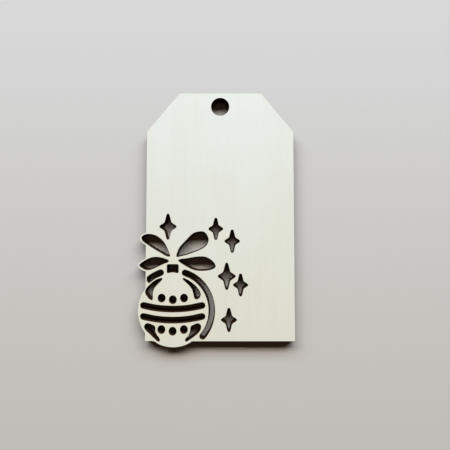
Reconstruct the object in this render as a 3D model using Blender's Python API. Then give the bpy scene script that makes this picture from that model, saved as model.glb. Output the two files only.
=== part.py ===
# Wooden gift tag, cut by laser from one sheet of three-ply board.
# A bauble under a bow, and sparkles beside them, are cut right through it.
# Units are metres. The tag lies face up on z = 0, with its hanging end towards +Y.
# Plan sizes are those at the back, where a cut is narrowest and the wood widest:
# the beam burns each edge back by about 0.15 mm at the face.
# The origin is on the back face, at the middle of the tag's plain rectangle.
import bmesh
import bpy
from math import acos, ceil, cos, degrees, hypot, pi, radians, sin
from mathutils import Vector
from mathutils.geometry import interpolate_bezier

# The board's layers, and the space left between two layers that are glued
FACE_VENEER_THICKNESS = 0.00080
CORE_PLY_THICKNESS = 0.00116
GLUE_FILM_THICKNESS = 0.00008
BOND_CLEARANCE = 0.00002

# The tag's plain rectangle, with its two sloping shoulders and its hanging hole
TAG_WIDTH = 0.05030
TAG_HEIGHT = 0.08430
SHOULDER_WIDTH = 0.01108
SHOULDER_HEIGHT = 0.01340
HANG_HOLE_RADIUS = 0.00295
HANG_HOLE_BELOW_TOP = 0.00490

# The bauble, an oval that stands out past the tag at its lower left corner
BAUBLE_HALF_WIDTH = 0.01197
BAUBLE_HALF_HEIGHT = 0.01222
BAUBLE_FROM_LEFT = 0.00950
BAUBLE_FROM_BOTTOM = 0.01025

# The slot that follows the bauble's edge, as one long and one short stretch.
# Angles are in degrees, from +X towards +Y.
HALO_WIDTH = 0.00186
HALO_LONG_START = 72.5
HALO_LONG_END = -40.2
HALO_SHORT_START = 109.0
HALO_SHORT_LIFT = 0.00018
HALO_SHORT_EDGE_RIM = 0.00070
HALO_SHORT_END_HEIGHT = 0.00120
HALO_SHORT_END_SLOPE = 0.00060
HALO_SHORT_END_FOOT = 0.00180

# The two sagging bands across the bauble
BAND_WIDTH = 0.00190
BAND_SAG = 0.00120
BAND_END_RIM = 0.00122
BAND_SHIFT = -0.00015
BAND_UPPER_RISE = 0.00050
BAND_LOWER_RISE = -0.00315

# The round beads above and below the bands
BEAD_WIDTH = 0.00234
BEAD_HEIGHT = 0.00258
BEAD_PITCH = 0.00375
BEAD_UPPER_RISE = 0.00415
BEAD_LOWER_RISE = -0.00625
BEAD_MIDDLE_DROP = 0.00056

# The bow, whose left loops stand out past the tag, and its knot
BOW_HALF_SPAN = 0.01285
BOW_HEIGHT = 0.01330
BOW_RIM = 0.00084
BOW_DRAW_IN = 0.00020
KNOT_WIDTH = 0.00366
KNOT_HEIGHT = 0.00268
KNOT_CORNER_RADIUS = 0.00036
KNOT_FOOT_RISE = 0.00025
KNOT_ABOVE_BAUBLE = 0.00173
KNOT_SHIFT = -0.00025

# The largest sparkle's whole width and height, and its round tips. Its arms widen by the
# tapers in degrees, the sideways arms' first, to inner corners this far from its centre
# across and up, whose rounding takes up this share of each side.
SPARKLE_WIDTH = 0.00566
SPARKLE_HEIGHT = 0.00876
SPARKLE_TIP_RADIUS = 0.00036
SPARKLE_TAPERS = (33.5, 15.0)
SPARKLE_INNER_CORNER = (0.00108, 0.00136)
SPARKLE_CORNER_SHARE = 0.30

# Each sparkle's centre from the knot's centre, as shares of the bow's half span and
# of its height, then its size as a share of the largest one's
SPARKLES = {
    "over_left_loop": (-0.132, 1.060, 0.965),
    "over_right_loop": (1.125, 1.004, 0.818),
    "beside_right_loop": (1.555, 0.692, 0.862),
    "under_right_loop": (1.412, -0.192, 1.000),
    "beside_bauble_high": (1.773, -0.410, 0.834),
    "beside_bauble_low": (1.468, -1.282, 0.880),
}

# The bow's four loops, counter-clockwise, as shares of the bow's half span and
# of its height, from the knot's centre, then drawn in all round
LOOPS = {
    "upper_left": (
        (-0.07, 0.31), (-0.09, 0.40), (-0.14, 0.52), (-0.22, 0.66), (-0.33, 0.77),
        (-0.47, 0.85), (-0.63, 0.88), (-0.77, 0.85), (-0.83, 0.78), (-0.79, 0.69),
        (-0.68, 0.61), (-0.49, 0.49), (-0.29, 0.38), (-0.13, 0.30),
    ),
    "lower_left": (
        (-0.10, 0.20), (-0.16, 0.24), (-0.29, 0.28), (-0.42, 0.30), (-0.58, 0.28),
        (-0.73, 0.21), (-0.86, 0.12), (-0.88, 0.09), (-0.82, 0.02), (-0.68, -0.04),
        (-0.54, -0.02), (-0.38, 0.05), (-0.22, 0.12), (-0.12, 0.16),
    ),
    "upper_right": (
        (0.09, 0.31), (0.11, 0.29), (0.18, 0.30), (0.35, 0.34), (0.56, 0.41),
        (0.75, 0.49), (0.89, 0.59), (0.94, 0.73), (0.91, 0.83), (0.82, 0.93),
        (0.67, 0.94), (0.52, 0.89), (0.38, 0.76), (0.26, 0.64), (0.16, 0.52),
        (0.11, 0.40),
    ),
    "lower_right": (
        (0.14, 0.21), (0.16, 0.18), (0.24, 0.12), (0.40, 0.03), (0.56, -0.04),
        (0.74, -0.06), (0.91, -0.05), (1.06, -0.01), (1.12, 0.04), (1.10, 0.13),
        (1.00, 0.23), (0.86, 0.30), (0.69, 0.31), (0.51, 0.29), (0.34, 0.26),
        (0.18, 0.24),
    ),
}

# The leaf-shaped cuts in the bauble, counter-clockwise, as shares of its half width
# and half height, from its centre, then drawn in all round
LEAF_DRAW_IN = 0.00018
LEAVES = {
    "upper_left": (
        (-0.31, 0.88), (-0.39, 0.88), (-0.54, 0.81), (-0.67, 0.70), (-0.77, 0.58),
        (-0.79, 0.48), (-0.73, 0.38), (-0.60, 0.28), (-0.57, 0.32), (-0.57, 0.46),
        (-0.53, 0.60), (-0.42, 0.73), (-0.32, 0.83),
    ),
    "upper_right": (
        (0.30, 0.81), (0.43, 0.69), (0.53, 0.55), (0.57, 0.40), (0.60, 0.32),
        (0.65, 0.30), (0.73, 0.34), (0.77, 0.45), (0.71, 0.58), (0.60, 0.70),
        (0.48, 0.79), (0.34, 0.87), (0.26, 0.88),
    ),
    "lower_left": (
        (-0.78, -0.51), (-0.65, -0.63), (-0.49, -0.78), (-0.39, -0.84), (-0.36, -0.79),
        (-0.45, -0.65), (-0.49, -0.54), (-0.50, -0.43), (-0.60, -0.37), (-0.73, -0.34),
        (-0.81, -0.42),
    ),
    "lower_right": (
        (0.48, -0.47), (0.47, -0.57), (0.41, -0.69), (0.33, -0.79), (0.36, -0.84),
        (0.46, -0.79), (0.63, -0.67), (0.75, -0.55), (0.78, -0.41), (0.70, -0.34),
        (0.59, -0.37), (0.50, -0.42),
    ),
}

# How finely curves are cut into chords: the most that a chord may miss its arc,
# the chords between two points of a drawn outline, and those of a small corner
ARC_MISS = 0.00005
OUTLINE_STEPS = 2
CORNER_STEPS = 3
SPARKLE_SIDE_STEPS = 4

# How far the cutting solids reach past the board, and how much more each next one
CUT_REACH = 0.0010
CUT_REACH_STEP = 0.0002
SHEET_MARGIN = 0.0050

# Colours as linear red, green and blue
LIMEWOOD_COLOUR = (0.76, 0.72, 0.60)
CORE_COLOUR = (0.52, 0.42, 0.27)
GLUE_COLOUR = (0.10, 0.055, 0.025)
WOOD_ROUGHNESS = 0.75
GLUE_ROUGHNESS = 0.45

# Places that follow from the sizes above
TAG_LEFT = -TAG_WIDTH / 2
TAG_RIGHT = TAG_WIDTH / 2
TAG_BOTTOM = -TAG_HEIGHT / 2
TAG_TOP = TAG_HEIGHT / 2
BAUBLE_X = TAG_LEFT + BAUBLE_FROM_LEFT
BAUBLE_Y = TAG_BOTTOM + BAUBLE_FROM_BOTTOM
KNOT_X = BAUBLE_X + KNOT_SHIFT
KNOT_Y = BAUBLE_Y + BAUBLE_HALF_HEIGHT + KNOT_ABOVE_BAUBLE


def clear_scene():
    for thing in list(bpy.data.objects):
        bpy.data.objects.remove(thing, do_unlink=True)


def oval_point(x, y, half_width, half_height, angle):
    turn = radians(angle)
    return (x + half_width * cos(turn), y + half_height * sin(turn))


def arc(x, y, half_width, half_height, start, end):
    """Points of an oval arc from one angle to another, both ends included."""
    widest = max(half_width, half_height)
    chord_angle = degrees(2 * acos(1 - ARC_MISS / widest))
    steps = max(2, ceil(abs(end - start) / chord_angle))
    angles = [start + (end - start) * step / steps for step in range(steps + 1)]
    return [oval_point(x, y, half_width, half_height, angle) for angle in angles]


def oval(x, y, half_width, half_height):
    return arc(x, y, half_width, half_height, 0, 360)[:-1]


def half_turn(start, end, direction):
    """Inner points of a half circle between two points, turning by direction."""
    middle = ((start[0] + end[0]) / 2, (start[1] + end[1]) / 2)
    arm = (start[0] - middle[0], start[1] - middle[1])
    points = []
    for step in range(1, CORNER_STEPS + 1):
        turn = direction * pi * step / (CORNER_STEPS + 1)
        x = middle[0] + arm[0] * cos(turn) - arm[1] * sin(turn)
        y = middle[1] + arm[0] * sin(turn) + arm[1] * cos(turn)
        points.append((x, y))
    return points


def curved_slot(x, y, inner, width, start, end):
    """A slot with round ends along an oval arc; inner is the oval's half sizes."""
    outer_side = arc(x, y, inner[0] + width, inner[1] + width, start, end)
    inner_side = arc(x, y, inner[0], inner[1], end, start)
    direction = 1 if end > start else -1
    far_end = half_turn(outer_side[-1], inner_side[0], direction)
    near_end = half_turn(inner_side[-1], outer_side[0], direction)
    return outer_side + far_end + inner_side + near_end


def smooth_outline(points):
    """A closed smooth curve through the points, as short chords."""
    knots = [Vector(point) for point in points]
    tangents = []
    for index, knot in enumerate(knots):
        before = knot - knots[index - 1]
        after = knots[(index + 1) % len(knots)] - knot
        tangents.append((before.normalized() + after.normalized()).normalized())
    outline = []
    for index, knot in enumerate(knots):
        following = (index + 1) % len(knots)
        reach = (knots[following] - knot).length / 3
        leave = knot + tangents[index] * reach
        arrive = knots[following] - tangents[following] * reach
        curve = interpolate_bezier(knot, leave, arrive, knots[following], OUTLINE_STEPS + 1)
        outline += [(point.x, point.y) for point in curve[:-1]]
    return outline


def grown(outline, rim):
    """The outline moved outwards by rim; it runs counter-clockwise."""
    moved = []
    for index, (x, y) in enumerate(outline):
        before = outline[index - 1]
        after = outline[(index + 1) % len(outline)]
        along_x = after[0] - before[0]
        along_y = after[1] - before[1]
        length = hypot(along_x, along_y)
        moved.append((x + rim * along_y / length, y - rim * along_x / length))
    return moved


def placed_shares(shares, x, y, width, height):
    return [(x + width * u, y + height * v) for u, v in shares]


def tag_outline():
    return [
        (TAG_LEFT, TAG_BOTTOM),
        (TAG_RIGHT, TAG_BOTTOM),
        (TAG_RIGHT, TAG_TOP - SHOULDER_HEIGHT),
        (TAG_RIGHT - SHOULDER_WIDTH, TAG_TOP),
        (TAG_LEFT + SHOULDER_WIDTH, TAG_TOP),
        (TAG_LEFT, TAG_TOP - SHOULDER_HEIGHT),
    ]


def loop_outline(name):
    shares = LOOPS[name]
    drawn = smooth_outline(placed_shares(shares, KNOT_X, KNOT_Y, BOW_HALF_SPAN, BOW_HEIGHT))
    return grown(drawn, -BOW_DRAW_IN)


def leaf_outline(name):
    shares = LEAVES[name]
    drawn = smooth_outline(
        placed_shares(shares, BAUBLE_X, BAUBLE_Y, BAUBLE_HALF_WIDTH, BAUBLE_HALF_HEIGHT)
    )
    return grown(drawn, -LEAF_DRAW_IN)


def halo_long_outline():
    inner = (BAUBLE_HALF_WIDTH, BAUBLE_HALF_HEIGHT)
    return curved_slot(BAUBLE_X, BAUBLE_Y, inner, HALO_WIDTH, HALO_LONG_START, HALO_LONG_END)


def oval_angle_at(x, half_width):
    """The angle on the bauble's left at which its oval, grown to half_width, is at x."""
    share = max(-1.0, min(1.0, (x - BAUBLE_X) / half_width))
    return degrees(acos(share))


def halo_short_outline():
    """The short slot: round at the knot, cut off beside the tag's left edge."""
    inner_width = BAUBLE_HALF_WIDTH + HALO_SHORT_LIFT
    inner_height = BAUBLE_HALF_HEIGHT + HALO_SHORT_LIFT
    outer_width = inner_width + HALO_WIDTH
    outer_height = inner_height + HALO_WIDTH
    rim_x = TAG_LEFT + HALO_SHORT_EDGE_RIM
    outer_end = oval_angle_at(rim_x, outer_width)
    inner_end = oval_angle_at(TAG_LEFT + HALO_SHORT_END_FOOT, inner_width)
    outer_side = arc(BAUBLE_X, BAUBLE_Y, outer_width, outer_height, HALO_SHORT_START, outer_end)
    inner_side = arc(BAUBLE_X, BAUBLE_Y, inner_width, inner_height, inner_end, HALO_SHORT_START)
    wall_low = outer_side[-1][1] - HALO_SHORT_END_HEIGHT
    corner = (rim_x + HALO_SHORT_END_SLOPE, wall_low - HALO_SHORT_END_SLOPE)
    near_end = half_turn(inner_side[-1], outer_side[0], 1)
    return outer_side + [(rim_x, wall_low), corner] + inner_side + near_end


def band_outline(rise):
    """A band as a slot along a wide arc whose middle hangs down by BAND_SAG."""
    half_chord = BAUBLE_HALF_WIDTH - BAND_END_RIM - BAND_WIDTH / 2
    radius = half_chord ** 2 / (2 * BAND_SAG) + BAND_SAG / 2
    inner_radius = radius - BAND_WIDTH / 2
    half_angle = degrees(acos((radius - BAND_SAG) / radius))
    centre_y = BAUBLE_Y + rise + radius
    return curved_slot(
        BAUBLE_X + BAND_SHIFT, centre_y, (inner_radius, inner_radius), BAND_WIDTH,
        270 - half_angle, 270 + half_angle,
    )


def bead_outlines():
    beads = []
    for rise in (BEAD_UPPER_RISE, BEAD_LOWER_RISE):
        for place in (-1, 0, 1):
            x = BAUBLE_X + BAND_SHIFT + place * BEAD_PITCH
            y = BAUBLE_Y + rise + (abs(place) - 1) * BEAD_MIDDLE_DROP
            beads.append(oval(x, y, BEAD_WIDTH / 2, BEAD_HEIGHT / 2))
    return beads


def knot_outline():
    """A rectangle with round corners, whose lower side is arched upwards."""
    side_x = KNOT_WIDTH / 2 - KNOT_CORNER_RADIUS
    side_y = KNOT_HEIGHT / 2 - KNOT_CORNER_RADIUS
    outline = []
    for quarter, (sign_x, sign_y) in enumerate(((1, 1), (-1, 1), (-1, -1), (1, -1))):
        for step in range(CORNER_STEPS + 1):
            angle = 90 * (quarter + step / CORNER_STEPS)
            x = KNOT_X + sign_x * side_x
            y = KNOT_Y + sign_y * side_y
            outline.append(oval_point(x, y, KNOT_CORNER_RADIUS, KNOT_CORNER_RADIUS, angle))
        if quarter == 2:
            outline.append((KNOT_X, KNOT_Y - KNOT_HEIGHT / 2 + KNOT_FOOT_RISE))
    return outline


def sparkle_outline(place):
    """A four-pointed sparkle with round tips, whose sides meet in soft inner corners."""
    across_share, up_share, size = place
    centre = Vector((KNOT_X + across_share * BOW_HALF_SPAN, KNOT_Y + up_share * BOW_HEIGHT))
    reaches = (
        size * SPARKLE_WIDTH / 2 - SPARKLE_TIP_RADIUS,
        size * SPARKLE_HEIGHT / 2 - SPARKLE_TIP_RADIUS,
    )
    points = []
    for quarter in range(4):
        arm = quarter % 2
        next_arm = 1 - arm
        along = Vector((cos(quarter * pi / 2), sin(quarter * pi / 2)))
        across = Vector((-along.y, along.x))
        tip = centre + along * reaches[arm]
        next_tip = centre + across * reaches[next_arm]
        taper = radians(SPARKLE_TAPERS[arm])
        next_taper = radians(SPARKLE_TAPERS[next_arm])
        for step in range(-CORNER_STEPS + 1, CORNER_STEPS):
            turn = (pi / 2 - taper) * step / CORNER_STEPS
            points.append(tip + (along * cos(turn) + across * sin(turn)) * SPARKLE_TIP_RADIUS)
        side = along * sin(taper) + across * cos(taper)
        next_side = across * sin(next_taper) + along * cos(next_taper)
        start = tip + side * SPARKLE_TIP_RADIUS
        end = next_tip + next_side * SPARKLE_TIP_RADIUS
        inner = along * SPARKLE_INNER_CORNER[arm] + across * SPARKLE_INNER_CORNER[next_arm]
        corner = centre + inner * size
        leave = corner.lerp(start, SPARKLE_CORNER_SHARE)
        arrive = corner.lerp(end, SPARKLE_CORNER_SHARE)
        points += [start, start.lerp(leave, 0.5)]
        points += interpolate_bezier(leave, corner, corner, arrive, SPARKLE_SIDE_STEPS)
        points += [arrive.lerp(end, 0.5), end]
    return [(point.x, point.y) for point in points]


def prism(name, outline, low, high):
    """A closed solid with the outline as its plan, from z = low to z = high."""
    mesh = bpy.data.meshes.new(name)
    shape = bmesh.new()
    corners = [shape.verts.new((x, y, low)) for x, y in outline]
    floor = shape.faces.new(corners)
    walls = bmesh.ops.extrude_face_region(shape, geom=[floor])
    top_corners = [part for part in walls["geom"] if isinstance(part, bmesh.types.BMVert)]
    bmesh.ops.translate(shape, verts=top_corners, vec=(0, 0, high - low))
    bmesh.ops.recalc_face_normals(shape, faces=shape.faces)
    shape.to_mesh(mesh)
    shape.free()
    return bpy.data.objects.new(name, mesh)


def add_guide(name, outline, board_top, place, collection):
    """A cutting solid; each next one reaches a little further, so no ends are level."""
    reach = CUT_REACH + CUT_REACH_STEP * place
    guide = prism(name, outline, -reach, board_top + reach)
    guide.hide_render = True
    guide.display_type = "WIRE"
    collection.objects.link(guide)
    return guide


def add_boolean(target, operation, source):
    modifier = target.modifiers.new(operation.lower(), "BOOLEAN")
    modifier.operation = operation
    modifier.solver = "EXACT"
    if isinstance(source, bpy.types.Collection):
        modifier.operand_type = "COLLECTION"
        modifier.collection = source
    else:
        modifier.object = source


def make_material(name, colour, roughness):
    material = bpy.data.materials.new(name)
    material.use_nodes = True
    shader = material.node_tree.nodes["Principled BSDF"]
    shader.inputs["Base Color"].default_value = (*colour, 1.0)
    shader.inputs["Roughness"].default_value = roughness
    shader.inputs["Metallic"].default_value = 0.0
    return material


def board_layers():
    """Each layer's name, thickness and material, from the back face upwards."""
    limewood = make_material("limewood_veneer", LIMEWOOD_COLOUR, WOOD_ROUGHNESS)
    core = make_material("limewood_core", CORE_COLOUR, WOOD_ROUGHNESS)
    glue = make_material("glue_film", GLUE_COLOUR, GLUE_ROUGHNESS)
    return (
        ("back_veneer", FACE_VENEER_THICKNESS, limewood),
        ("back_glue_film", GLUE_FILM_THICKNESS, glue),
        ("core_ply", CORE_PLY_THICKNESS, core),
        ("front_glue_film", GLUE_FILM_THICKNESS, glue),
        ("front_veneer", FACE_VENEER_THICKNESS, limewood),
    )


def through_cuts():
    """Every opening's name and outline."""
    cuts = {
        "hang_hole": oval(
            0, TAG_TOP - HANG_HOLE_BELOW_TOP, HANG_HOLE_RADIUS, HANG_HOLE_RADIUS
        ),
        "knot": knot_outline(),
        "halo_long": halo_long_outline(),
        "halo_short": halo_short_outline(),
        "band_upper": band_outline(BAND_UPPER_RISE),
        "band_lower": band_outline(BAND_LOWER_RISE),
    }
    for name in LOOPS:
        cuts["loop_" + name] = loop_outline(name)
    for name in LEAVES:
        cuts["leaf_" + name] = leaf_outline(name)
    for number, outline in enumerate(bead_outlines(), 1):
        cuts["bead_" + str(number)] = outline
    for name, place in SPARKLES.items():
        cuts["sparkle_" + name] = sparkle_outline(place)
    return cuts


def edge_outlines():
    """The outlines that together make the tag's outer edge."""
    edges = {
        "edge_tag": tag_outline(),
        "edge_bauble": oval(BAUBLE_X, BAUBLE_Y, BAUBLE_HALF_WIDTH, BAUBLE_HALF_HEIGHT),
    }
    for name in LOOPS:
        edges["edge_loop_" + name] = grown(loop_outline(name), BOW_RIM)
    return edges


def sheet_outline(edges):
    """A plain sheet, a little larger than all that is cut from it."""
    points = [point for outline in edges.values() for point in outline]
    low_x = min(x for x, y in points) - SHEET_MARGIN
    low_y = min(y for x, y in points) - SHEET_MARGIN
    high_x = max(x for x, y in points) + SHEET_MARGIN
    high_y = max(y for x, y in points) + SHEET_MARGIN
    return [(low_x, low_y), (high_x, low_y), (high_x, high_y), (low_x, high_y)]


def build():
    clear_scene()
    scene_collection = bpy.context.scene.collection
    edge_collection = bpy.data.collections.new("edge_guides")
    cut_collection = bpy.data.collections.new("through_cuts")
    scene_collection.children.link(edge_collection)
    scene_collection.children.link(cut_collection)

    layers = board_layers()
    thicknesses = [thickness for name, thickness, material in layers]
    board_top = sum(thicknesses) + BOND_CLEARANCE * (len(layers) - 1)

    edges = edge_outlines()
    edge_guides = []
    for place, (name, outline) in enumerate(edges.items()):
        edge_guides.append(add_guide(name, outline, board_top, place, edge_collection))
    whole_edge = edge_guides[0]
    for guide in edge_guides[1:]:
        add_boolean(whole_edge, "UNION", guide)

    for name, outline in through_cuts().items():
        add_guide("cut_" + name, outline, board_top, len(edges), cut_collection)

    low = 0.0
    for name, thickness, material in layers:
        layer = prism(name, sheet_outline(edges), low, low + thickness)
        layer.data.materials.append(material)
        scene_collection.objects.link(layer)
        add_boolean(layer, "INTERSECT", whole_edge)
        add_boolean(layer, "DIFFERENCE", cut_collection)
        low += thickness + BOND_CLEARANCE


build()
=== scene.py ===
import math

import bpy
import numpy as np
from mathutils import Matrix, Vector, kdtree
from mathutils.geometry import delaunay_2d_cdt, interpolate_bezier


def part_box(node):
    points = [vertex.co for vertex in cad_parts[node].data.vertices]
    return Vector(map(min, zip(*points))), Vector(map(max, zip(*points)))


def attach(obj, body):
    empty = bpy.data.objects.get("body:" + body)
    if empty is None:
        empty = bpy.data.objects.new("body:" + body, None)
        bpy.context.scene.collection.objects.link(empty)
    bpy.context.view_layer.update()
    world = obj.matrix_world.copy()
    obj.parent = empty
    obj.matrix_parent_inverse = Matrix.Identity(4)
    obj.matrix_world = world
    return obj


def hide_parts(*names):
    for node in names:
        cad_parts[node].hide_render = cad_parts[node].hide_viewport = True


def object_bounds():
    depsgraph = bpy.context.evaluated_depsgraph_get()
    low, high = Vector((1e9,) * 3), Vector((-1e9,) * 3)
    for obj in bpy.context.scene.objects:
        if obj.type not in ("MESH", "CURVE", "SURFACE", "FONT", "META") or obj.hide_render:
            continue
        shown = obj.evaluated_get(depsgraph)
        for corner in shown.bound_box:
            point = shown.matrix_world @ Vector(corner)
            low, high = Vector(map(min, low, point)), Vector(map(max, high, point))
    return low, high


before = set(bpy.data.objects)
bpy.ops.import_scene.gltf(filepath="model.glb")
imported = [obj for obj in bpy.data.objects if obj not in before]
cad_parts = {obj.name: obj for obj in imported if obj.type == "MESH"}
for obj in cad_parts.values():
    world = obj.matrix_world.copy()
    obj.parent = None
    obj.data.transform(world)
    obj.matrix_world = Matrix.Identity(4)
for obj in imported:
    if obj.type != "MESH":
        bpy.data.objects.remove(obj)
bpy.context.view_layer.update()
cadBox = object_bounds()
mm = 0.001
print("frame loaded:", ", ".join(sorted(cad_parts)))


def linearColour(hexText):  # a written sRGB colour as the linear numbers that a shader takes
    channels = [int(hexText[place:place + 2], 16) / 255 for place in (1, 3, 5)]
    linear = [c / 12.92 if c <= 0.04045 else ((c + 0.055) / 1.055) ** 2.4 for c in channels]
    return (*linear, 1.0)


def addNode(tree, kind, inputs=None, **settings):  # one node with its settings, values and links
    node = tree.nodes.new(kind)
    for name, value in settings.items():
        setattr(node, name, value)
    for key, value in (inputs or {}).items():
        for source in value if isinstance(value, list) else [value]:
            if isinstance(source, bpy.types.NodeSocket):
                tree.links.new(source, node.inputs[key])
            else:
                node.inputs[key].default_value = source
    return node


def addObject(name, data):
    added = bpy.data.objects.new(name, data)
    bpy.context.scene.collection.objects.link(added)
    return added


# The cut's outlines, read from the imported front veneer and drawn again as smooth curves
outline = {
    "node": "front_veneer",
    "snap": 0.001 * mm,         # points closer than this are one point
    "pointSpacing": 0.15 * mm,  # between two points of a finished edge
    "sharpTurn": 35.0,          # degrees; a smaller turn is part of a curve
    "sharpRun": 1.0 * mm,       # a corner has at least one side this long
    "straightRun": 5.0 * mm,    # a longer side is straight, and not a chord of a curve
    "mitreLimit": 1.4,          # how far a corner's point may lean out
}


def readLoops(nodeName):  # closed loops round a layer's upper face, with the wood on their left
    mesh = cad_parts[nodeName].data
    points = np.empty(len(mesh.vertices) * 3)
    mesh.vertices.foreach_get("co", points)
    points = points.reshape(-1, 3)
    top = points[:, 2].max() - outline["snap"]
    keys = [tuple(key) for key in np.round(points[:, :2] / outline["snap"]).astype(int)]
    mesh.calc_loop_triangles()
    edges = set()
    for triangle in mesh.loop_triangles:
        corners = list(triangle.vertices)
        if min(points[corner][2] for corner in corners) < top:
            continue
        for start, end in zip(corners, corners[1:] + corners[:1]):
            if (keys[end], keys[start]) in edges:
                edges.remove((keys[end], keys[start]))
            else:
                edges.add((keys[start], keys[end]))
    following = dict(sorted(edges))
    loops = []
    while following:
        here = next(iter(following))
        loop = []
        while here in following:
            loop.append(Vector(here) * outline["snap"])
            here = following.pop(here)
        loops.append(loop)
    return loops


def smoothLoop(corners):  # a curve through the corners, cut into points of even spacing
    count = len(corners)
    sides = [corners[(i + 1) % count] - corners[i] for i in range(count)]
    smooth = []
    for i in range(count):
        before, after = sides[i - 1], sides[i]
        sharp = abs(before.angle_signed(after)) > math.radians(outline["sharpTurn"])
        sharp = sharp and max(before.length, after.length) > outline["sharpRun"]
        smooth.append(not sharp)
    points = []
    for i in range(count):
        following = (i + 1) % count
        side = sides[i]
        leave = arrive = side.normalized()
        if side.length < outline["straightRun"]:
            leave = (sides[i - 1] + side).normalized() if smooth[i] else leave
            arrive = (side + sides[following]).normalized() if smooth[following] else arrive
        reach = side.length / 3
        steps = max(1, math.ceil(side.length / outline["pointSpacing"]))
        handles = (corners[i] + leave * reach, corners[following] - arrive * reach)
        curve = interpolate_bezier(corners[i], *handles, corners[following], steps + 1)
        points += [(point.x, point.y) for point in curve[:-1]]
    return np.array(points)


def edgeFrame(points):  # at each point, the way out of the wood and the length along the cut
    sides = np.roll(points, -1, axis=0) - points
    lengths = np.hypot(sides[:, 0], sides[:, 1])
    outward = np.stack([sides[:, 1], -sides[:, 0]], axis=1) / lengths[:, None]
    lean = outward + np.roll(outward, 1, axis=0)
    size = np.hypot(lean[:, 0], lean[:, 1])[:, None]
    lean = lean / size * np.minimum(2 / size, outline["mitreLimit"])
    along = np.concatenate([[0], np.cumsum(lengths)[:-1]])
    return lean, along


loops = [smoothLoop(corners) for corners in readLoops(outline["node"])]
print("outlines drawn:", len(loops), "with", sum(len(loop) for loop in loops), "points")

# The flat plan that every layer is raised from. Its points lie in rings beside the cut,
# so that the char and the smoke can fade across them, and on a coarse grid further in.
plan = {
    "rings": {0.22 * mm: 1, 0.45 * mm: 3, 0.80 * mm: 5, 1.40 * mm: 9},  # depth: every so many points
    "crowding": 0.94,           # a ring's point keeps this share of its depth to every edge
    "pointCell": 0.10 * mm,     # no two inner points share a cell of this size
    "gridPitch": 2.0 * mm,
    "gridDepth": 2.1 * mm,      # the grid starts this far from the edges
    "smokeRadius": 4.0 * mm,    # smoke from every cut within this distance settles on a point
    "smokeStride": 4,           # every so many edge points are asked for it
    "smokeClear": 14.0,         # mm of cut in that circle that leave no stain, as on a plain edge
    "smokeFull": 60.0,          # mm of cut in it that stain fully, as between the openings
    "exitLean": 0.260 * mm,     # how much narrower an opening is at the bottom, on each side
    "exitRoom": 0.80,           # but at most this share of the half width there, as in a leaf's tip
}


def planPoints(loops):
    rim = np.concatenate(loops)
    lean, along = (np.concatenate(parts) for parts in zip(*[edgeFrame(loop) for loop in loops]))
    nearest = kdtree.KDTree(len(rim))
    for place, (x, y) in enumerate(rim):
        nearest.insert((x, y, 0), place)
    nearest.balance()
    inner = []
    taken = set()

    def tryPoint(x, y, depth):
        cell = (round(x / plan["pointCell"]), round(y / plan["pointCell"]))
        gap = nearest.find((x, y, 0))[2]
        if gap > depth * plan["crowding"] and cell not in taken:
            taken.add(cell)
            inner.append((x, y, gap))

    for depth, stride in plan["rings"].items():
        for (x, y), (outX, outY) in list(zip(rim, lean))[::stride]:
            tryPoint(x - outX * depth, y - outY * depth, depth)
    low, high = rim.min(axis=0), rim.max(axis=0)
    for x in np.arange(low[0], high[0], plan["gridPitch"]):
        for y in np.arange(low[1], high[1], plan["gridPitch"]):
            tryPoint(x, y, plan["gridDepth"])
    return rim, lean, along, np.array(inner)


def smokeAt(points, rim):  # how much of the cutting smoke settles at each point, from 0 to 1
    cuts = rim[::plan["smokeStride"]]
    lengthEach = plan["smokeStride"] * outline["pointSpacing"] / mm
    spread = plan["smokeFull"] - plan["smokeClear"]
    smoke = []
    for point in points:
        gaps = np.hypot(*(cuts - point).T)
        length = (gaps < plan["smokeRadius"]).sum() * lengthEach
        smoke.append(min(max((length - plan["smokeClear"]) / spread, 0.0), 1.0))
    return smoke


def exitShares(loop):  # the share of the lean that each point of an opening has room for
    wayOut = edgeFrame(loop)[0]
    wayOut = wayOut / np.hypot(*wayOut.T)[:, None]
    gaps = loop[None] - loop[:, None]
    ahead = (gaps * wayOut[:, None]).sum(axis=2)
    halfWidths = np.full(ahead.shape, np.inf)  # of the opening, if only the two points bounded it
    np.divide((gaps ** 2).sum(axis=2), 2 * ahead, out=halfWidths, where=ahead > 0)
    return np.minimum(plan["exitRoom"] * halfWidths.min(axis=1) / plan["exitLean"], 1.0)


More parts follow.
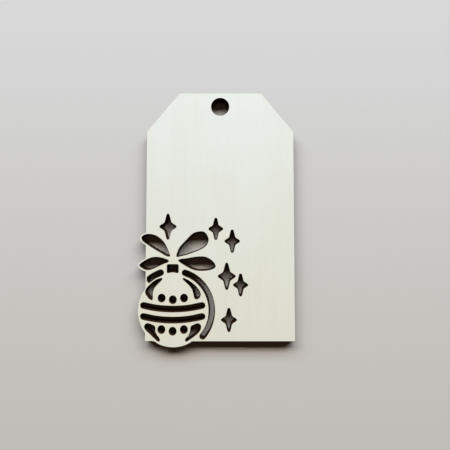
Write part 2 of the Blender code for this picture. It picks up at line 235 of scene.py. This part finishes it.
def makePlan(loops):
    rim, lean, along, inner = planPoints(loops)
    faces = []
    outer = set()
    start = 0
    for number, loop in enumerate(loops):
        x, y = loop[:, 0], loop[:, 1]
        ring = list(range(start, start + len(loop)))
        if (x * np.roll(y, -1) - np.roll(x, -1) * y).sum() > 0:
            outer.add(number)  # the tag's own edge runs counter-clockwise, an opening's clockwise
        else:
            ring.reverse()
        faces.append(ring)
        start += len(loop)
    flat = [Vector(point) / mm for point in rim] + [Vector(point[:2]) / mm for point in inner]
    filled = delaunay_2d_cdt(flat, [], faces, 0, outline["snap"] / mm)
    triangles = [face for face, inside in zip(filled[2], filled[5]) if set(inside) == outer]
    mesh = bpy.data.meshes.new("plan")
    mesh.from_pydata([(point.x * mm, point.y * mm, 0) for point in filled[0]], [], triangles)

    # what the layers' walls and materials read at each point, which is on the rim or an inner one
    sources = [group[0] for group in filled[3]]
    count = len(rim)
    shares = [exitShares(loop) * (number not in outer) for number, loop in enumerate(loops)]
    shares = np.concatenate(shares)
    wayOut = [(*lean[s], 0) if s < count else (0, 0, 0) for s in sources]
    mesh.attributes.new("wayOut", "FLOAT_VECTOR", "POINT").data.foreach_set("vector", np.ravel(wayOut))
    readings = {
        "alongCut": [along[s] / mm if s < count else 0 for s in sources],
        "edgeDepth": [0 if s < count else inner[s - count][2] / mm for s in sources],
        "smoke": smokeAt(np.array([point[:] for point in filled[0]]) * mm, rim),
        "exitShare": [shares[s] if s < count else 0 for s in sources],
    }
    for name, values in readings.items():
        mesh.attributes.new(name, "FLOAT", "POINT").data.foreach_set("value", values)
    return mesh


planMesh = makePlan(loops)
print("plan filled:", len(planMesh.vertices), "points,", len(planMesh.polygons), "triangles")


def startMaterial(name):
    material = bpy.data.materials.new(name)
    material.use_nodes = True
    return material, material.node_tree, material.node_tree.nodes["Principled BSDF"]


def fadeAlong(tree, fade):  # a colour that changes evenly along the tag
    place = addNode(tree, "ShaderNodeTexCoord").outputs["Object"]
    along = addNode(tree, "ShaderNodeSeparateXYZ", {0: place}).outputs["Y"]
    share = {"Value": along, "From Min": fade["from"], "From Max": fade["to"]}
    share = addNode(tree, "ShaderNodeMapRange", share).outputs[0]
    laid = {"Factor": share, 6: linearColour(fade["first"]), 7: linearColour(fade["last"])}
    return addNode(tree, "ShaderNodeMix", laid, data_type="RGBA").outputs[2]


def layTones(tree, colour, tones, seed):  # each tone lies over the colour where its pattern is strong
    place = addNode(tree, "ShaderNodeTexCoord").outputs["Object"]
    pattern = None
    for number, tone in enumerate(tones):
        scale = tuple(1 / (size * mm) for size in tone["size"])
        moved = {"Vector": place, "Scale": scale, "Location": (seed + number, seed - number, seed)}
        moved = addNode(tree, "ShaderNodeMapping", moved).outputs[0]
        pattern = {"Vector": moved, "Scale": 1.0, "Detail": tone["detail"]}
        pattern = addNode(tree, "ShaderNodeTexNoise", pattern).outputs[0]
        low, high = tone["span"]
        share = {"Value": pattern, "From Min": low, "From Max": high, "To Max": tone["most"]}
        share = addNode(tree, "ShaderNodeMapRange", share, interpolation_type="SMOOTHSTEP").outputs[0]
        laid = {"Factor": share, 6: colour, 7: linearColour(tone["colour"])}
        colour = addNode(tree, "ShaderNodeMix", laid, data_type="RGBA").outputs[2]
    return colour, pattern


# Limewood face veneer, rotary peeled and fine sanded. The eye sees a pale, almost even cream, with
# straight faint streaks along the tag, short pale-brown flecks, no gloss, and a thread of char
# beside each cut. Its colour fades along the tag, whiter and cooler towards the hanging end and warmer
# towards the foot: partly the sheet's own tone, partly painted light, the cool window light and the
# warm bounce put into the colour. Smoke warms it where the openings crowd. Sizes are in mm, across
# the grain, along it and through the sheet. The flecks and the finest streaks are drawn about three
# times as wide as the wood's own pores, so as to show.
faceWood = {
    # the sheet's tone with painted light: whiter and cooler at the hanging end, towards the window,
    # warmer at the foot
    "ends": {"from": -40.0 * mm, "first": "#E3E3D6", "to": 38.0 * mm, "last": "#E3E7E3"},
    "tones": [
        {"size": (14, 30, 14), "detail": 1, "span": (0.40, 0.75), "most": 0.10, "colour": "#DAD2B4"},
        {"size": (2.6, 60, 2.6), "detail": 2, "span": (0.42, 0.78), "most": 0.07, "colour": "#C9C4AC"},
        {"size": (0.16, 1.1, 0.16), "detail": 0, "span": (0.74, 0.84), "most": 0.22, "colour": "#A98F68"},
        {"size": (0.22, 14, 0.22), "detail": 2, "span": (0.45, 0.75), "most": 0.06, "colour": "#C4BEA4"},
    ],
    "frontSeed": 2.0,
    "backSeed": 23.0,
    "smoke": "#F4D08C",
    "smokeFront": 0.36,         # how strongly the smoke stains the face, at most
    "smokeBack": 0.60,          # and the back, where it is trapped under the sheet
    "char": "#1C120A",
    "charFrom": 0.015,          # mm from the edge where the char starts to thin
    "charTo": 0.130,            # mm from the edge where it has gone
    "grainDepth": 0.012 * mm,
    "grainStrength": 0.6,
    "grainSpan": (0.3, 0.7),    # the finest streaks' low and high parts
    "roughness": (0.58, 0.68),  # on those
    "shine": 0.30,
}


def sandedLimewood(name, seed, smokeMost):
    material, tree, shader = startMaterial(name)
    # the fade along the tag holds painted light from the window as well as the wood's tone
    colour = fadeAlong(tree, faceWood["ends"])
    colour, grain = layTones(tree, colour, faceWood["tones"], seed)

    # the smoke's stain, then the char beside the cut
    smoke = addNode(tree, "ShaderNodeAttribute", attribute_name="smoke").outputs["Fac"]
    smoke = addNode(tree, "ShaderNodeMapRange", {"Value": smoke, "To Max": smokeMost}).outputs[0]
    depth = addNode(tree, "ShaderNodeAttribute", attribute_name="edgeDepth").outputs["Fac"]
    char = {"Value": depth, "From Min": faceWood["charFrom"], "From Max": faceWood["charTo"]}
    char |= {"To Min": 1.0, "To Max": 0.0}
    char = addNode(tree, "ShaderNodeMapRange", char, interpolation_type="SMOOTHSTEP").outputs[0]
    for share, over in ((smoke, faceWood["smoke"]), (char, faceWood["char"])):
        laid = {"Factor": share, 6: colour, 7: linearColour(over)}
        colour = addNode(tree, "ShaderNodeMix", laid, data_type="RGBA").outputs[2]

    bump = {"Height": grain, "Distance": faceWood["grainDepth"], "Strength": faceWood["grainStrength"]}
    bump = addNode(tree, "ShaderNodeBump", bump).outputs[0]
    (low, high), (least, most) = faceWood["grainSpan"], faceWood["roughness"]
    roughness = {"Value": grain, "From Min": low, "From Max": high, "To Min": least, "To Max": most}
    roughness = addNode(tree, "ShaderNodeMapRange", roughness).outputs[0]
    for source, socket in ((colour, "Base Color"), (bump, "Normal"), (roughness, "Roughness")):
        tree.links.new(source, shader.inputs[socket])
    shader.inputs["Specular IOR Level"].default_value = faceWood["shine"]
    return material


# Laser-cut ply edge, toasted to charred brown and dull. Its streaks run down the cut, and its fibres
# along the grain: long lines where the cut runs with the grain, and dark pores where it crosses it.
# The face veneers' grain runs along the tag, and the core ply's runs across it.
cutEdge = {
    "toasted": "#4A2F1B",
    "burnt": "#1A110A",
    "streakPitch": 0.32,            # mm along the cut
    "streakDetail": 3.0,
    "streakSpan": (0.35, 0.70),     # from burnt to as toasted as the layer gets
    "veneerToast": 0.85,
    "coreToast": 0.60,
    "fibreLength": 1.6,             # mm
    "fibreWidth": 0.09,             # mm
    "fibreTones": [
        {"detail": 1, "span": (0.58, 0.74), "most": 0.45, "colour": "#3D2A19"},
        {"detail": 1, "span": (0.52, 0.70), "most": 0.55, "colour": "#080503"},
    ],
    "veneerSeed": 5.0,
    "coreSeed": 9.0,
    "roughness": 0.78,
    "shine": 0.06,
    "poreDepth": 0.02 * mm,
    "poreStrength": 0.5,
}


def charredEdge(name, seed, toast, grainAxis):
    material, tree, shader = startMaterial(name)
    along = addNode(tree, "ShaderNodeAttribute", attribute_name="alongCut").outputs["Fac"]
    pitches = {0: along, 1: cutEdge["streakPitch"]}
    pitches = addNode(tree, "ShaderNodeMath", pitches, operation="DIVIDE").outputs[0]
    streaks = {"W": pitches, "Scale": 1.0, "Detail": cutEdge["streakDetail"]}
    streaks = addNode(tree, "ShaderNodeTexNoise", streaks, noise_dimensions="1D").outputs[0]
    low, high = cutEdge["streakSpan"]
    share = {"Value": streaks, "From Min": low, "From Max": high, "To Max": toast}
    share = addNode(tree, "ShaderNodeMapRange", share, interpolation_type="SMOOTHSTEP").outputs[0]
    laid = {"Factor": share, 6: linearColour(cutEdge["burnt"]), 7: linearColour(cutEdge["toasted"])}
    colour = addNode(tree, "ShaderNodeMix", laid, data_type="RGBA").outputs[2]
    fibre = [cutEdge["fibreWidth"]] * 3
    fibre[grainAxis] = cutEdge["fibreLength"]
    tones = [{"size": fibre, **tone} for tone in cutEdge["fibreTones"]]
    colour, fibres = layTones(tree, colour, tones, seed)
    bump = {"Height": fibres, "Distance": cutEdge["poreDepth"], "Strength": cutEdge["poreStrength"]}
    bump = addNode(tree, "ShaderNodeBump", bump).outputs[0]
    tree.links.new(colour, shader.inputs["Base Color"])
    tree.links.new(bump, shader.inputs["Normal"])
    shader.inputs["Roughness"].default_value = cutEdge["roughness"]
    shader.inputs["Specular IOR Level"].default_value = cutEdge["shine"]
    return material


# Urea glue line, boiled out and burnt by the beam: a black, slightly shiny thread between the plies
glueLine = {
    "colour": "#120B07",
    "roughness": 0.36,
    "tones": [
        {"size": (0.5, 0.5, 0.5), "detail": 2, "span": (0.45, 0.70), "most": 0.80, "colour": "#2E1C10"},
    ],
    "seed": 41.0,
}


def burntGlue(name):
    material, tree, shader = startMaterial(name)
    colour = layTones(tree, linearColour(glueLine["colour"]), glueLine["tones"], glueLine["seed"])[0]
    tree.links.new(colour, shader.inputs["Base Color"])
    shader.inputs["Roughness"].default_value = glueLine["roughness"]
    return material


# The Geometry Nodes tree that raises the flat plan into one layer of the board.
# The beam enters at the top, where its kerf is widest, and leaves striations on the walls.
laser = {
    "insideChords": 0.015 * mm,     # keeps the round walls, which bulge past the solid's chords, in it
    "kerfTaper": 0.085 * mm,        # how much further back the wall stands at the top
    "burntCorner": 0.030 * mm,      # lost from the board's upper and lower corners
    "cornerHeight": 0.01 * mm,      # a point this near to a layer's top or bottom is on its rim
    "striationDepth": 0.030 * mm,
    "striationPitch": 0.32,         # mm
    "striationDetail": 1.0,
    "drag": 0.9,                    # how many striations the cut trails by at the bottom
    "seed": 0.0,                    # one for all layers, so that the striations run through them
    "levelHeight": 0.14 * mm,       # about, from one ring of a wall's points to the next
    "mergeDistance": 0.002 * mm,
    "wallSlope": 0.5,               # a face whose normal rises less than this is a wall's
    "sharpAngle": 32.0,             # degrees; a lesser fold is shaded smooth
}
treeInputs = {
    "Plan": "NodeSocketGeometry",
    "Low": "NodeSocketFloat",
    "Thickness": "NodeSocketFloat",
    "Levels": "NodeSocketInt",
    "Board Height": "NodeSocketFloat",
    "Inside Chords": "NodeSocketFloat",
    "Kerf Taper": "NodeSocketFloat",
    "Exit Lean": "NodeSocketFloat",
    "Burnt Top": "NodeSocketFloat",
    "Burnt Bottom": "NodeSocketFloat",
    "Corner Height": "NodeSocketFloat",
    "Striation Depth": "NodeSocketFloat",
    "Striation Pitch": "NodeSocketFloat",
    "Drag": "NodeSocketFloat",
    "Seed": "NodeSocketFloat",
    "Face Material": "NodeSocketMaterial",
    "Wall Material": "NodeSocketMaterial",
}
levelSteps = [  # the layer's top, and the height of one level: result, operation, what it works on
    ("level", "DIVIDE", "Thickness", "Levels"),
    ("high", "ADD", "Low", "Thickness"),
]
phaseSteps = [  # where along the striations a point stands
    ("shareUp", "DIVIDE", "height", "Board Height"),
    ("shareDown", "SUBTRACT", 1.0, "shareUp"),
    ("trail", "POWER", "shareDown", 2.0),
    ("trailShift", "MULTIPLY", "trail", "Drag"),
    ("striation", "DIVIDE", "along", "Striation Pitch"),
    ("trailed", "ADD", "striation", "trailShift"),
    ("phase", "ADD", "trailed", "Seed"),
]
shiftSteps = [  # how far the wall moves from the plan's edge, out of the wood: mostly less than nothing
    ("nearTop", "SUBTRACT", "high", "Corner Height"),
    ("atTop", "GREATER_THAN", "height", "nearTop"),
    ("topLoss", "MULTIPLY", "atTop", "Burnt Top"),
    ("nearLow", "ADD", "Low", "Corner Height"),
    ("atLow", "LESS_THAN", "height", "nearLow"),
    ("lowLoss", "MULTIPLY", "atLow", "Burnt Bottom"),
    ("cornerLoss", "ADD", "topLoss", "lowLoss"),
    ("taperLoss", "MULTIPLY", "shareUp", "Kerf Taper"),
    ("evenLoss", "ADD", "taperLoss", "Inside Chords"),
    ("rippleLoss", "MULTIPLY", "ripple", "Striation Depth"),
    ("wallLoss", "ADD", "evenLoss", "rippleLoss"),
    ("setBack", "ADD", "wallLoss", "cornerLoss"),
    ("lean", "MULTIPLY", "shareDown", "Exit Lean"),
    ("narrowing", "MULTIPLY", "lean", "exitShare"),
    ("shift", "SUBTRACT", "narrowing", "setBack"),
]
slopeSteps = [
    ("slope", "ABSOLUTE", "upright"),
    ("isWall", "LESS_THAN", "slope", laser["wallSlope"]),
]


def workOut(tree, values, steps):  # a formula's steps, each result kept under its name
    for name, operation, *parts in steps:
        inputs = {place: values.get(part, part) for place, part in enumerate(parts)}
        values[name] = addNode(tree, "ShaderNodeMath", inputs, operation=operation).outputs[0]


def laserCutTree():
    tree = bpy.data.node_groups.new("laserCutLayer", "GeometryNodeTree")
    for name, kind in treeInputs.items():
        tree.interface.new_socket(name, in_out="INPUT", socket_type=kind)
    tree.interface.new_socket("Layer", in_out="OUTPUT", socket_type="NodeSocketGeometry")
    given = addNode(tree, "NodeGroupInput").outputs
    values = {name: given[name] for name in treeInputs}
    workOut(tree, values, levelSteps)

    # the under face, then its rim drawn up level by level
    lowPlace = addNode(tree, "ShaderNodeCombineXYZ", {"Z": given["Low"]}).outputs[0]
    under = {"Geometry": given["Plan"], "Offset": lowPlace}
    under = addNode(tree, "GeometryNodeSetPosition", under).outputs[0]
    under = addNode(tree, "GeometryNodeFlipFaces", {"Mesh": under}).outputs[0]
    sides = addNode(tree, "GeometryNodeInputMeshEdgeNeighbors").outputs["Face Count"]
    rim = addNode(tree, "FunctionNodeCompare", {2: sides, 3: 1}, data_type="INT", operation="EQUAL")
    levelStep = addNode(tree, "ShaderNodeCombineXYZ", {"Z": values["level"]}).outputs[0]
    repeatIn = addNode(tree, "GeometryNodeRepeatInput")
    repeatOut = addNode(tree, "GeometryNodeRepeatOutput")
    repeatIn.pair_with_output(repeatOut)
    repeatOut.repeat_items.new("BOOLEAN", "Rim")
    starts = {"Iterations": given["Levels"], "Geometry": under, "Rim": rim.outputs[0]}
    for socket, source in starts.items():
        tree.links.new(source, repeatIn.inputs[socket])
    drawn, lastRim = repeatIn.outputs["Geometry"], repeatIn.outputs["Rim"]
    drawn = {"Mesh": drawn, "Selection": lastRim, "Offset": levelStep}
    drawn = addNode(tree, "GeometryNodeExtrudeMesh", drawn, mode="EDGES")
    tree.links.new(drawn.outputs["Mesh"], repeatOut.inputs["Geometry"])
    tree.links.new(drawn.outputs["Top"], repeatOut.inputs["Rim"])

    # the upper face closes it
    highPlace = addNode(tree, "ShaderNodeCombineXYZ", {"Z": values["high"]}).outputs[0]
    upper = {"Geometry": given["Plan"], "Offset": highPlace}
    upper = addNode(tree, "GeometryNodeSetPosition", upper).outputs[0]
    joined = {0: [repeatOut.outputs["Geometry"], upper]}
    joined = addNode(tree, "GeometryNodeJoinGeometry", joined).outputs[0]
    closed = {"Geometry": joined, "Distance": laser["mergeDistance"]}
    closed = addNode(tree, "GeometryNodeMergeByDistance", closed).outputs[0]

    # the wall stands back by the kerf's taper, the burnt corners and the striations, and an
    # opening's leans out again towards its bottom
    position = addNode(tree, "GeometryNodeInputPosition").outputs[0]
    values["height"] = addNode(tree, "ShaderNodeSeparateXYZ", {0: position}).outputs["Z"]
    for result, name in (("along", "alongCut"), ("exitShare", "exitShare")):
        reading = addNode(tree, "GeometryNodeInputNamedAttribute", {"Name": name}, data_type="FLOAT")
        values[result] = reading.outputs[0]
    workOut(tree, values, phaseSteps)
    ripple = {"W": values["phase"], "Scale": 1.0, "Detail": laser["striationDetail"]}
    values["ripple"] = addNode(tree, "ShaderNodeTexNoise", ripple, noise_dimensions="1D").outputs[0]
    workOut(tree, values, shiftSteps)
    wayOut = {"Name": "wayOut"}
    wayOut = addNode(tree, "GeometryNodeInputNamedAttribute", wayOut, data_type="FLOAT_VECTOR")
    moved = {0: wayOut.outputs[0], "Scale": values["shift"]}
    moved = addNode(tree, "ShaderNodeVectorMath", moved, operation="SCALE").outputs[0]
    cut = addNode(tree, "GeometryNodeSetPosition", {"Geometry": closed, "Offset": moved}).outputs[0]

    # faces that look up or down are the sheet's own, and the others are the cut
    normal = addNode(tree, "GeometryNodeInputNormal").outputs[0]
    values["upright"] = addNode(tree, "ShaderNodeSeparateXYZ", {0: normal}).outputs["Z"]
    workOut(tree, values, slopeSteps)
    real = addNode(tree, "GeometryNodeRealizeInstances", {"Geometry": cut}).outputs[0]
    faced = {"Geometry": real, "Material": given["Face Material"]}
    faced = addNode(tree, "GeometryNodeSetMaterial", faced).outputs[0]
    walled = {"Geometry": faced, "Selection": values["isWall"], "Material": given["Wall Material"]}
    walled = addNode(tree, "GeometryNodeSetMaterial", walled).outputs[0]
    addNode(tree, "NodeGroupOutput", {"Layer": walled})
    return tree


layerTree = laserCutTree()
boardHeight = cadBox[1].z


def raiseLayer(pieceName, nodeName, faceMaterial, wallMaterial, burntTop=0.0, burntBottom=0.0):
    low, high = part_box(nodeName)
    thickness = high.z - low.z
    given = {
        "Low": low.z,
        "Thickness": thickness,
        "Levels": max(1, round(thickness / laser["levelHeight"])),
        "Board Height": boardHeight,
        "Inside Chords": laser["insideChords"],
        "Kerf Taper": laser["kerfTaper"],
        "Exit Lean": plan["exitLean"],
        "Burnt Top": burntTop,
        "Burnt Bottom": burntBottom,
        "Corner Height": laser["cornerHeight"],
        "Striation Depth": laser["striationDepth"],
        "Striation Pitch": laser["striationPitch"],
        "Drag": laser["drag"],
        "Seed": laser["seed"],
        "Face Material": faceMaterial,
        "Wall Material": wallMaterial,
    }
    planMesh.materials.clear()
    planMesh.materials.append(faceMaterial)  # without one, the layer's first slot would be empty
    holder = addObject("planHolder", planMesh)
    modifier = holder.modifiers.new("laserCut", "NODES")
    modifier.node_group = layerTree
    for item in layerTree.interface.items_tree:
        if item.name in given:
            modifier[item.identifier] = given[item.name]
    depsgraph = bpy.context.evaluated_depsgraph_get()
    evaluated = holder.evaluated_get(depsgraph)
    mesh = bpy.data.meshes.new_from_object(evaluated, preserve_all_data_layers=True, depsgraph=depsgraph)
    bpy.data.objects.remove(holder)
    mesh.shade_smooth()
    mesh.set_sharp_from_angle(angle=math.radians(laser["sharpAngle"]))
    piece = addObject(pieceName, mesh)
    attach(piece, "root")
    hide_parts(nodeName)
    print("layer raised:", pieceName, len(mesh.polygons), "faces,", [m.name for m in mesh.materials])


frontFace = sandedLimewood("sandedLimewoodFront", faceWood["frontSeed"], faceWood["smokeFront"])
backFace = sandedLimewood("sandedLimewoodBack", faceWood["backSeed"], faceWood["smokeBack"])
veneerEdge = charredEdge("laserCharredVeneerEdge", cutEdge["veneerSeed"], cutEdge["veneerToast"], 1)
coreEdge = charredEdge("laserCharredCoreEdge", cutEdge["coreSeed"], cutEdge["coreToast"], 0)
glueEdge = burntGlue("burntGlueLine")
burnt = laser["burntCorner"]
raiseLayer("frontVeneer", "front_veneer", frontFace, veneerEdge, burntTop=burnt)
raiseLayer("frontGlueFilm", "front_glue_film", glueEdge, glueEdge)
raiseLayer("corePly", "core_ply", coreEdge, coreEdge)
raiseLayer("backGlueFilm", "back_glue_film", glueEdge, glueEdge)
raiseLayer("backVeneer", "back_veneer", backFace, veneerEdge, burntBottom=burnt)


# Matt paper floor: pale and dull. Painted shade and painted warm bounce light make it a little warmer and
# a touch darker towards the tag's foot
floor = {
    "size": 1.2,
    "drop": 0.02 * mm,      # keeps it clear of the board's back
    # painted shade and warm bounce: the paper darkens and warms towards the tag's foot
    "ends": {"from": 45.0 * mm, "first": "#CDCDCD", "to": -55.0 * mm, "last": "#CBC6C2"},
    "tones": [
        {"size": (0.5, 0.5, 0.5), "detail": 2, "span": (0.35, 0.70), "most": 0.03, "colour": "#B9B4B0"},
    ],
    "seed": 61.0,
    "roughness": 0.9,
    "shine": 0.2,
}


def makeFloor():
    half = floor["size"] / 2
    mesh = bpy.data.meshes.new("paperFloor")
    corners = [(-half, -half), (half, -half), (half, half), (-half, half)]
    mesh.from_pydata([(x, y, -floor["drop"]) for x, y in corners], [], [(0, 1, 2, 3)])
    material, tree, shader = startMaterial("mattPaper")
    # the fade along the floor is painted shade and painted warm bounce light
    colour = fadeAlong(tree, floor["ends"])
    colour = layTones(tree, colour, floor["tones"], floor["seed"])[0]
    tree.links.new(colour, shader.inputs["Base Color"])
    shader.inputs["Roughness"].default_value = floor["roughness"]
    shader.inputs["Specular IOR Level"].default_value = floor["shine"]
    mesh.materials.append(material)
    surface = addObject("paperFloor", mesh)


makeFloor()
print("floor laid:", floor["size"], "m square")

# A wide window stands past the tag's hanging end, brightest half way up, cooler at its foot and
# warmer at its top, and there is a faint warm sky all round. The camera sees a pale backdrop
# in the sky's place, where a view reaches past the floor.
lamp = {
    "distance": 0.80,       # from the origin to the window
    "width": 2.016,
    "foot": 0.296,          # the window's lower edge above the floor
    "rowHeight": 0.192,
    "rows": [               # from the foot up, in watts
        {"power": 10.38, "colour": "#DFF1FF"},
        {"power": 14.19, "colour": "#FEFCFF"},
        {"power": 11.00, "colour": "#FFF8E4"},
    ],
    "sky": "#FFCEA5",
    "skyStrength": 0.035,
    "backdrop": "#E4E3E0",
}


def makeLights():
    for number, row in enumerate(lamp["rows"]):
        data = bpy.data.lights.new("window", "AREA")
        data.shape = "RECTANGLE"
        data.size = lamp["width"]
        data.size_y = lamp["rowHeight"]
        data.energy = row["power"]
        data.color = linearColour(row["colour"])[:3]
        pane = addObject("window", data)
        pane.location = (0, lamp["distance"], lamp["foot"] + (number + 0.5) * lamp["rowHeight"])
        pane.rotation_euler = (math.radians(-90), 0, 0)
    world = bpy.data.worlds.new("sky")
    world.use_nodes = True
    tree = world.node_tree
    rays = addNode(tree, "ShaderNodeLightPath").outputs["Is Camera Ray"]
    glow = {"Color": linearColour(lamp["sky"]), "Strength": lamp["skyStrength"]}
    glow = addNode(tree, "ShaderNodeBackground", glow).outputs[0]
    backdrop = {"Color": linearColour(lamp["backdrop"]), "Strength": 1.0}
    backdrop = addNode(tree, "ShaderNodeBackground", backdrop).outputs[0]
    seen = addNode(tree, "ShaderNodeMixShader", {0: rays, 1: glow, 2: backdrop}).outputs[0]
    tree.links.new(seen, tree.nodes["World Output"].inputs["Surface"])
    bpy.context.scene.world = world


makeLights()
print("window lit:", len(lamp["rows"]), "rows of light")

# The camera stands close and almost straight above the tag, as the photograph's does
view = {
    "lens": 24.0,
    "elevation": 87.814,
    "target": (1.657 * mm, -3.292 * mm, 3.0 * mm),
    "distance": 101.29 * mm,
    "clipStart": 10.0 * mm,
}


def makeCamera():
    tilt = math.radians(90 - view["elevation"])
    camera = addObject("camera", bpy.data.cameras.new("camera"))
    camera.data.lens = view["lens"]
    camera.data.clip_start = view["clipStart"]
    away = Vector((0, -math.sin(tilt), math.cos(tilt)))
    camera.location = Vector(view["target"]) + away * view["distance"]
    camera.rotation_euler = (tilt, 0, 0)
    bpy.context.scene.camera = camera


makeCamera()
bpy.context.scene.view_settings.view_transform = "Standard"
print("camera placed:", round(view["distance"] / mm, 1), "mm above the tag")
